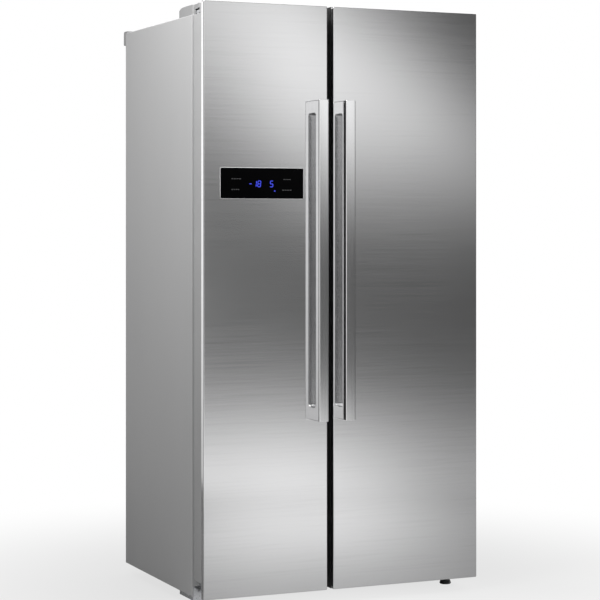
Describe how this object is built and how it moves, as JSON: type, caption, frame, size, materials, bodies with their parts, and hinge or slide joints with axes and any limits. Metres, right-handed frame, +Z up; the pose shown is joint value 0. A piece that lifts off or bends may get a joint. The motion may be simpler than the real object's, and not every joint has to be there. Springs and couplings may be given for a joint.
{
  "type": "side by side refrigerator",
  "caption": "Free-standing side by side refrigerator with a narrow freezer door and a wider fridge door in brushed steel, bar handles, display, shelves, drawers and door shelves.",
  "frame": {"origin": "on the floor, under the centre of the whole box", "axes": "+Z up, the doors face -Y, +X is to the viewer's right, so the freezer door is at -X"},
  "size_m": [0.895, 0.769, 1.766],
  "materials": {
    "painted_side": "satin",
    "brushed_steel": "satin",
    "zinc_plate": "satin",
    "dark_steel": "satin",
    "galvanised": "satin",
    "white_liner": "gloss",
    "grey_plastic": "satin",
    "cover_plastic": "satin",
    "seal": "matte",
    "foam": "matte",
    "clear_plastic": "gloss",
    "shelf_glass": "gloss",
    "display_black": "polished",
    "circuit_board": "satin",
    "black_plastic": "satin",
    "compressor_black": "gloss",
    "copper_coil": "satin",
    "aluminium_coil": "satin",
    "handle_metal": "satin",
    "roller_nylon": "matte"
  },
  "bodies": {
    "cabinet": {"cabinet_shell": "painted_side", "cabinet_foam": "foam", "freezer_liner": "white_liner", "fridge_liner": "white_liner", "front_frame": "painted_side", "back_panel": "galvanised", "base_frame": "dark_steel", "machine_cover": "dark_steel", "compressor": "compressor_black", "condenser": "copper_coil", "condenser_fan_shroud": "black_plastic", "drip_tray": "black_plastic", "evaporator": "aluminium_coil", "freezer_duct_cover": "white_liner", "fridge_duct_cover": "white_liner", "control_box": "grey_plastic", "cord_inlet": "black_plastic", "spacer_rail": "grey_plastic", "top_hinges": "zinc_plate", "hinge_covers": "cover_plastic", "bottom_hinges": "zinc_plate", "screws": "zinc_plate", "fridge_shelves": "shelf_glass", "fridge_shelf_trims": "white_liner", "freezer_shelves": "shelf_glass", "ice_maker_frame": "white_liner", "lamp_lenses": "clear_plastic"},
    "freezer_door": {"freezer_door_skin": "brushed_steel", "freezer_door_foam": "foam", "freezer_door_frame": "grey_plastic", "freezer_door_liner": "white_liner", "freezer_door_gasket": "seal", "freezer_door_bins": "clear_plastic", "freezer_handle_bar": "handle_metal", "freezer_handle_posts": "handle_metal", "display_glass": "display_black", "display_board": "circuit_board"},
    "fridge_door": {"fridge_door_skin": "brushed_steel", "fridge_door_foam": "foam", "fridge_door_frame": "grey_plastic", "fridge_door_liner": "white_liner", "fridge_door_gasket": "seal", "fridge_door_bins": "clear_plastic", "fridge_handle_bar": "handle_metal", "fridge_handle_posts": "handle_metal"},
    "freezer_drawer_lower": {"freezer_drawer_lower": "clear_plastic"},
    "freezer_drawer_upper": {"freezer_drawer_upper": "clear_plastic"},
    "crisper_lower": {"crisper_lower": "clear_plastic"},
    "crisper_upper": {"crisper_upper": "clear_plastic"},
    "ice_box": {"ice_box": "clear_plastic"},
    "ice_tray_left": {"ice_tray_left": "white_liner"},
    "ice_tray_right": {"ice_tray_right": "white_liner"},
    "condenser_fan": {"condenser_fan": "black_plastic"},
    "evaporator_fan": {"evaporator_fan": "black_plastic"},
    "left_foot": {"left_foot": "black_plastic"},
    "right_foot": {"right_foot": "black_plastic"},
    "roller_front_left": {"roller_front_left": "roller_nylon"},
    "roller_front_right": {"roller_front_right": "roller_nylon"},
    "roller_rear_left": {"roller_rear_left": "roller_nylon"},
    "roller_rear_right": {"roller_rear_right": "roller_nylon"}
  },
  "joints": [
    {"name": "freezer_door_hinge", "type": "hinge", "parent": "cabinet", "child": "freezer_door", "pos_m": [-0.4315, -0.2855, 0.883], "axis": [0, 0, -1], "range_deg": [0, 135]},
    {"name": "fridge_door_hinge", "type": "hinge", "parent": "cabinet", "child": "fridge_door", "pos_m": [0.4315, -0.2855, 0.883], "axis": [0, 0, 1], "range_deg": [0, 135]},
    {"name": "freezer_drawer_lower_slide", "type": "slide", "parent": "cabinet", "child": "freezer_drawer_lower", "axis": [0, -1, 0], "range_m": [0, 0.203]},
    {"name": "freezer_drawer_upper_slide", "type": "slide", "parent": "cabinet", "child": "freezer_drawer_upper", "axis": [0, -1, 0], "range_m": [0, 0.203]},
    {"name": "ice_box_slide", "type": "slide", "parent": "cabinet", "child": "ice_box", "axis": [0, -1, 0], "range_m": [0, 0.203]},
    {"name": "crisper_lower_slide", "type": "slide", "parent": "cabinet", "child": "crisper_lower", "axis": [0, -1, 0], "range_m": [0, 0.203]},
    {"name": "crisper_upper_slide", "type": "slide", "parent": "cabinet", "child": "crisper_upper", "axis": [0, -1, 0], "range_m": [0, 0.203]},
    {"name": "ice_tray_left_twist", "type": "hinge", "parent": "cabinet", "child": "ice_tray_left", "pos_m": [-0.29563, -0.1265, 1.62229], "axis": [0, 1, 0], "range_deg": [0, 120], "stiffness_Nm_per_rad": 0.05},
    {"name": "ice_tray_right_twist", "type": "hinge", "parent": "cabinet", "child": "ice_tray_right", "pos_m": [-0.18263, -0.1265, 1.62229], "axis": [0, 1, 0], "range_deg": [0, 120], "stiffness_Nm_per_rad": 0.05},
    {"name": "evaporator_fan_spin", "type": "hinge", "parent": "cabinet", "child": "evaporator_fan", "pos_m": [-0.23913, 0.2385, 0.92], "axis": [0, 1, 0], "continuous": true},
    {"name": "condenser_fan_spin", "type": "hinge", "parent": "cabinet", "child": "condenser_fan", "pos_m": [0.2575, 0.2625, 0.135], "axis": [0, 1, 0], "continuous": true},
    {"name": "left_foot_screw", "type": "slide", "parent": "cabinet", "child": "left_foot", "axis": [0, 0, 1], "range_m": [-0.02, 0]},
    {"name": "right_foot_screw", "type": "slide", "parent": "cabinet", "child": "right_foot", "axis": [0, 0, 1], "range_m": [-0.02, 0]},
    {"name": "roller_front_left_spin", "type": "hinge", "parent": "cabinet", "child": "roller_front_left", "pos_m": [-0.3755, -0.1515, 0.0165], "axis": [1, 0, 0], "continuous": true},
    {"name": "roller_front_right_spin", "type": "hinge", "parent": "cabinet", "child": "roller_front_right", "pos_m": [0.3755, -0.1515, 0.0165], "axis": [1, 0, 0], "continuous": true},
    {"name": "roller_rear_left_spin", "type": "hinge", "parent": "cabinet", "child": "roller_rear_left", "pos_m": [-0.3755, 0.2905, 0.0165], "axis": [1, 0, 0], "continuous": true},
    {"name": "roller_rear_right_spin", "type": "hinge", "parent": "cabinet", "child": "roller_rear_right", "pos_m": [0.3755, 0.2905, 0.0165], "axis": [1, 0, 0], "continuous": true}
  ],
  "couplings": [
    {"joint": "freezer_drawer_lower_slide", "follows": "freezer_door_hinge", "m_per_rad": 0.085944},
    {"joint": "freezer_drawer_upper_slide", "follows": "freezer_door_hinge", "m_per_rad": 0.085944},
    {"joint": "ice_box_slide", "follows": "freezer_door_hinge", "m_per_rad": 0.085944},
    {"joint": "crisper_lower_slide", "follows": "fridge_door_hinge", "m_per_rad": 0.085944},
    {"joint": "crisper_upper_slide", "follows": "fridge_door_hinge", "m_per_rad": 0.085944}
  ]
}
